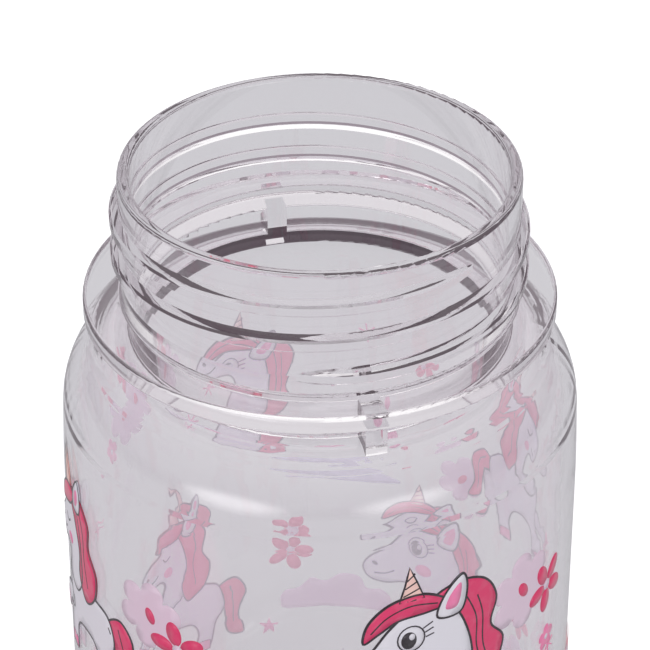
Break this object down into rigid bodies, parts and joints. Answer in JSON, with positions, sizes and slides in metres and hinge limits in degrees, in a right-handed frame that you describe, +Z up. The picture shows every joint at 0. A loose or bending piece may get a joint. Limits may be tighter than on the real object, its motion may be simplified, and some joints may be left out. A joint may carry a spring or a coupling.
{
  "type": "kids water bottle",
  "caption": "Clear straight-sided drinking bottle with a screw-thread neck, standing beside its flip-top screw lid with a spout, push button and swinging carry handle.",
  "frame": {"origin": "centre of the bottle's base, on the table", "axes": "+Z up along the bottle's axis and out of its mouth; -Y is the front, where the lid's release button is; the lid stands at -X, -Y"},
  "size_m": [0.1805, 0.1564, 0.15],
  "materials": {
    "clear_plastic": "clear glossy copolyester with a faint lilac tint",
    "pink_plastic": "satin moulded polypropylene",
    "pale_plastic": "satin moulded polypropylene",
    "white_plastic": "satin moulded polypropylene",
    "soft_grip": "matt soft overmould",
    "silicone": "translucent white silicone",
    "print_ink": "screen-printed ink on the outside of the bottle",
    "steel": "stainless wire and pin"
  },
  "bodies": {
    "bottle": {"bottle_body": "clear_plastic"},
    "seal": {"lid_gasket": "silicone"},
    "lid": {"lid_cap": "pink_plastic", "grip_ring": "soft_grip", "spout": "silicone", "spout_clamp": "white_plastic", "vent_valve": "silicone", "hinge_pin": "steel", "cover_spring": "steel", "button_spring": "steel", "handle_pins": "white_plastic"},
    "cover": {"flip_cover": "pale_plastic", "cover_seal": "silicone"},
    "button": {"release_button": "white_plastic"},
    "handle": {"carry_handle": "pink_plastic"}
  },
  "joints": [
    {"name": "lid_lift", "type": "slide", "parent": "bottle", "child": "seal", "axis": [0, 0, 1], "range_m": [0, 0.16]},
    {"name": "lid_turn", "type": "hinge", "parent": "seal", "child": "lid", "pos_m": [-0.105, -0.08, 0.01], "axis": [0, 0, 1], "continuous": true},
    {"name": "cover_hinge", "type": "hinge", "parent": "lid", "child": "cover", "pos_m": [-0.105, -0.0465, 0.026], "axis": [-1, 0, 0], "range_deg": [0, 105]},
    {"name": "button_press", "type": "slide", "parent": "lid", "child": "button", "axis": [0, 1, 0], "range_m": [0, 0.0014], "stiffness_N_per_m": 500, "springref_m": -0.001, "deforming": ["button_spring"]},
    {"name": "handle_swing", "type": "hinge", "parent": "lid", "child": "handle", "pos_m": [-0.105, -0.08, 0.02], "axis": [1, 0, 0], "range_deg": [0, 180]}
  ]
}
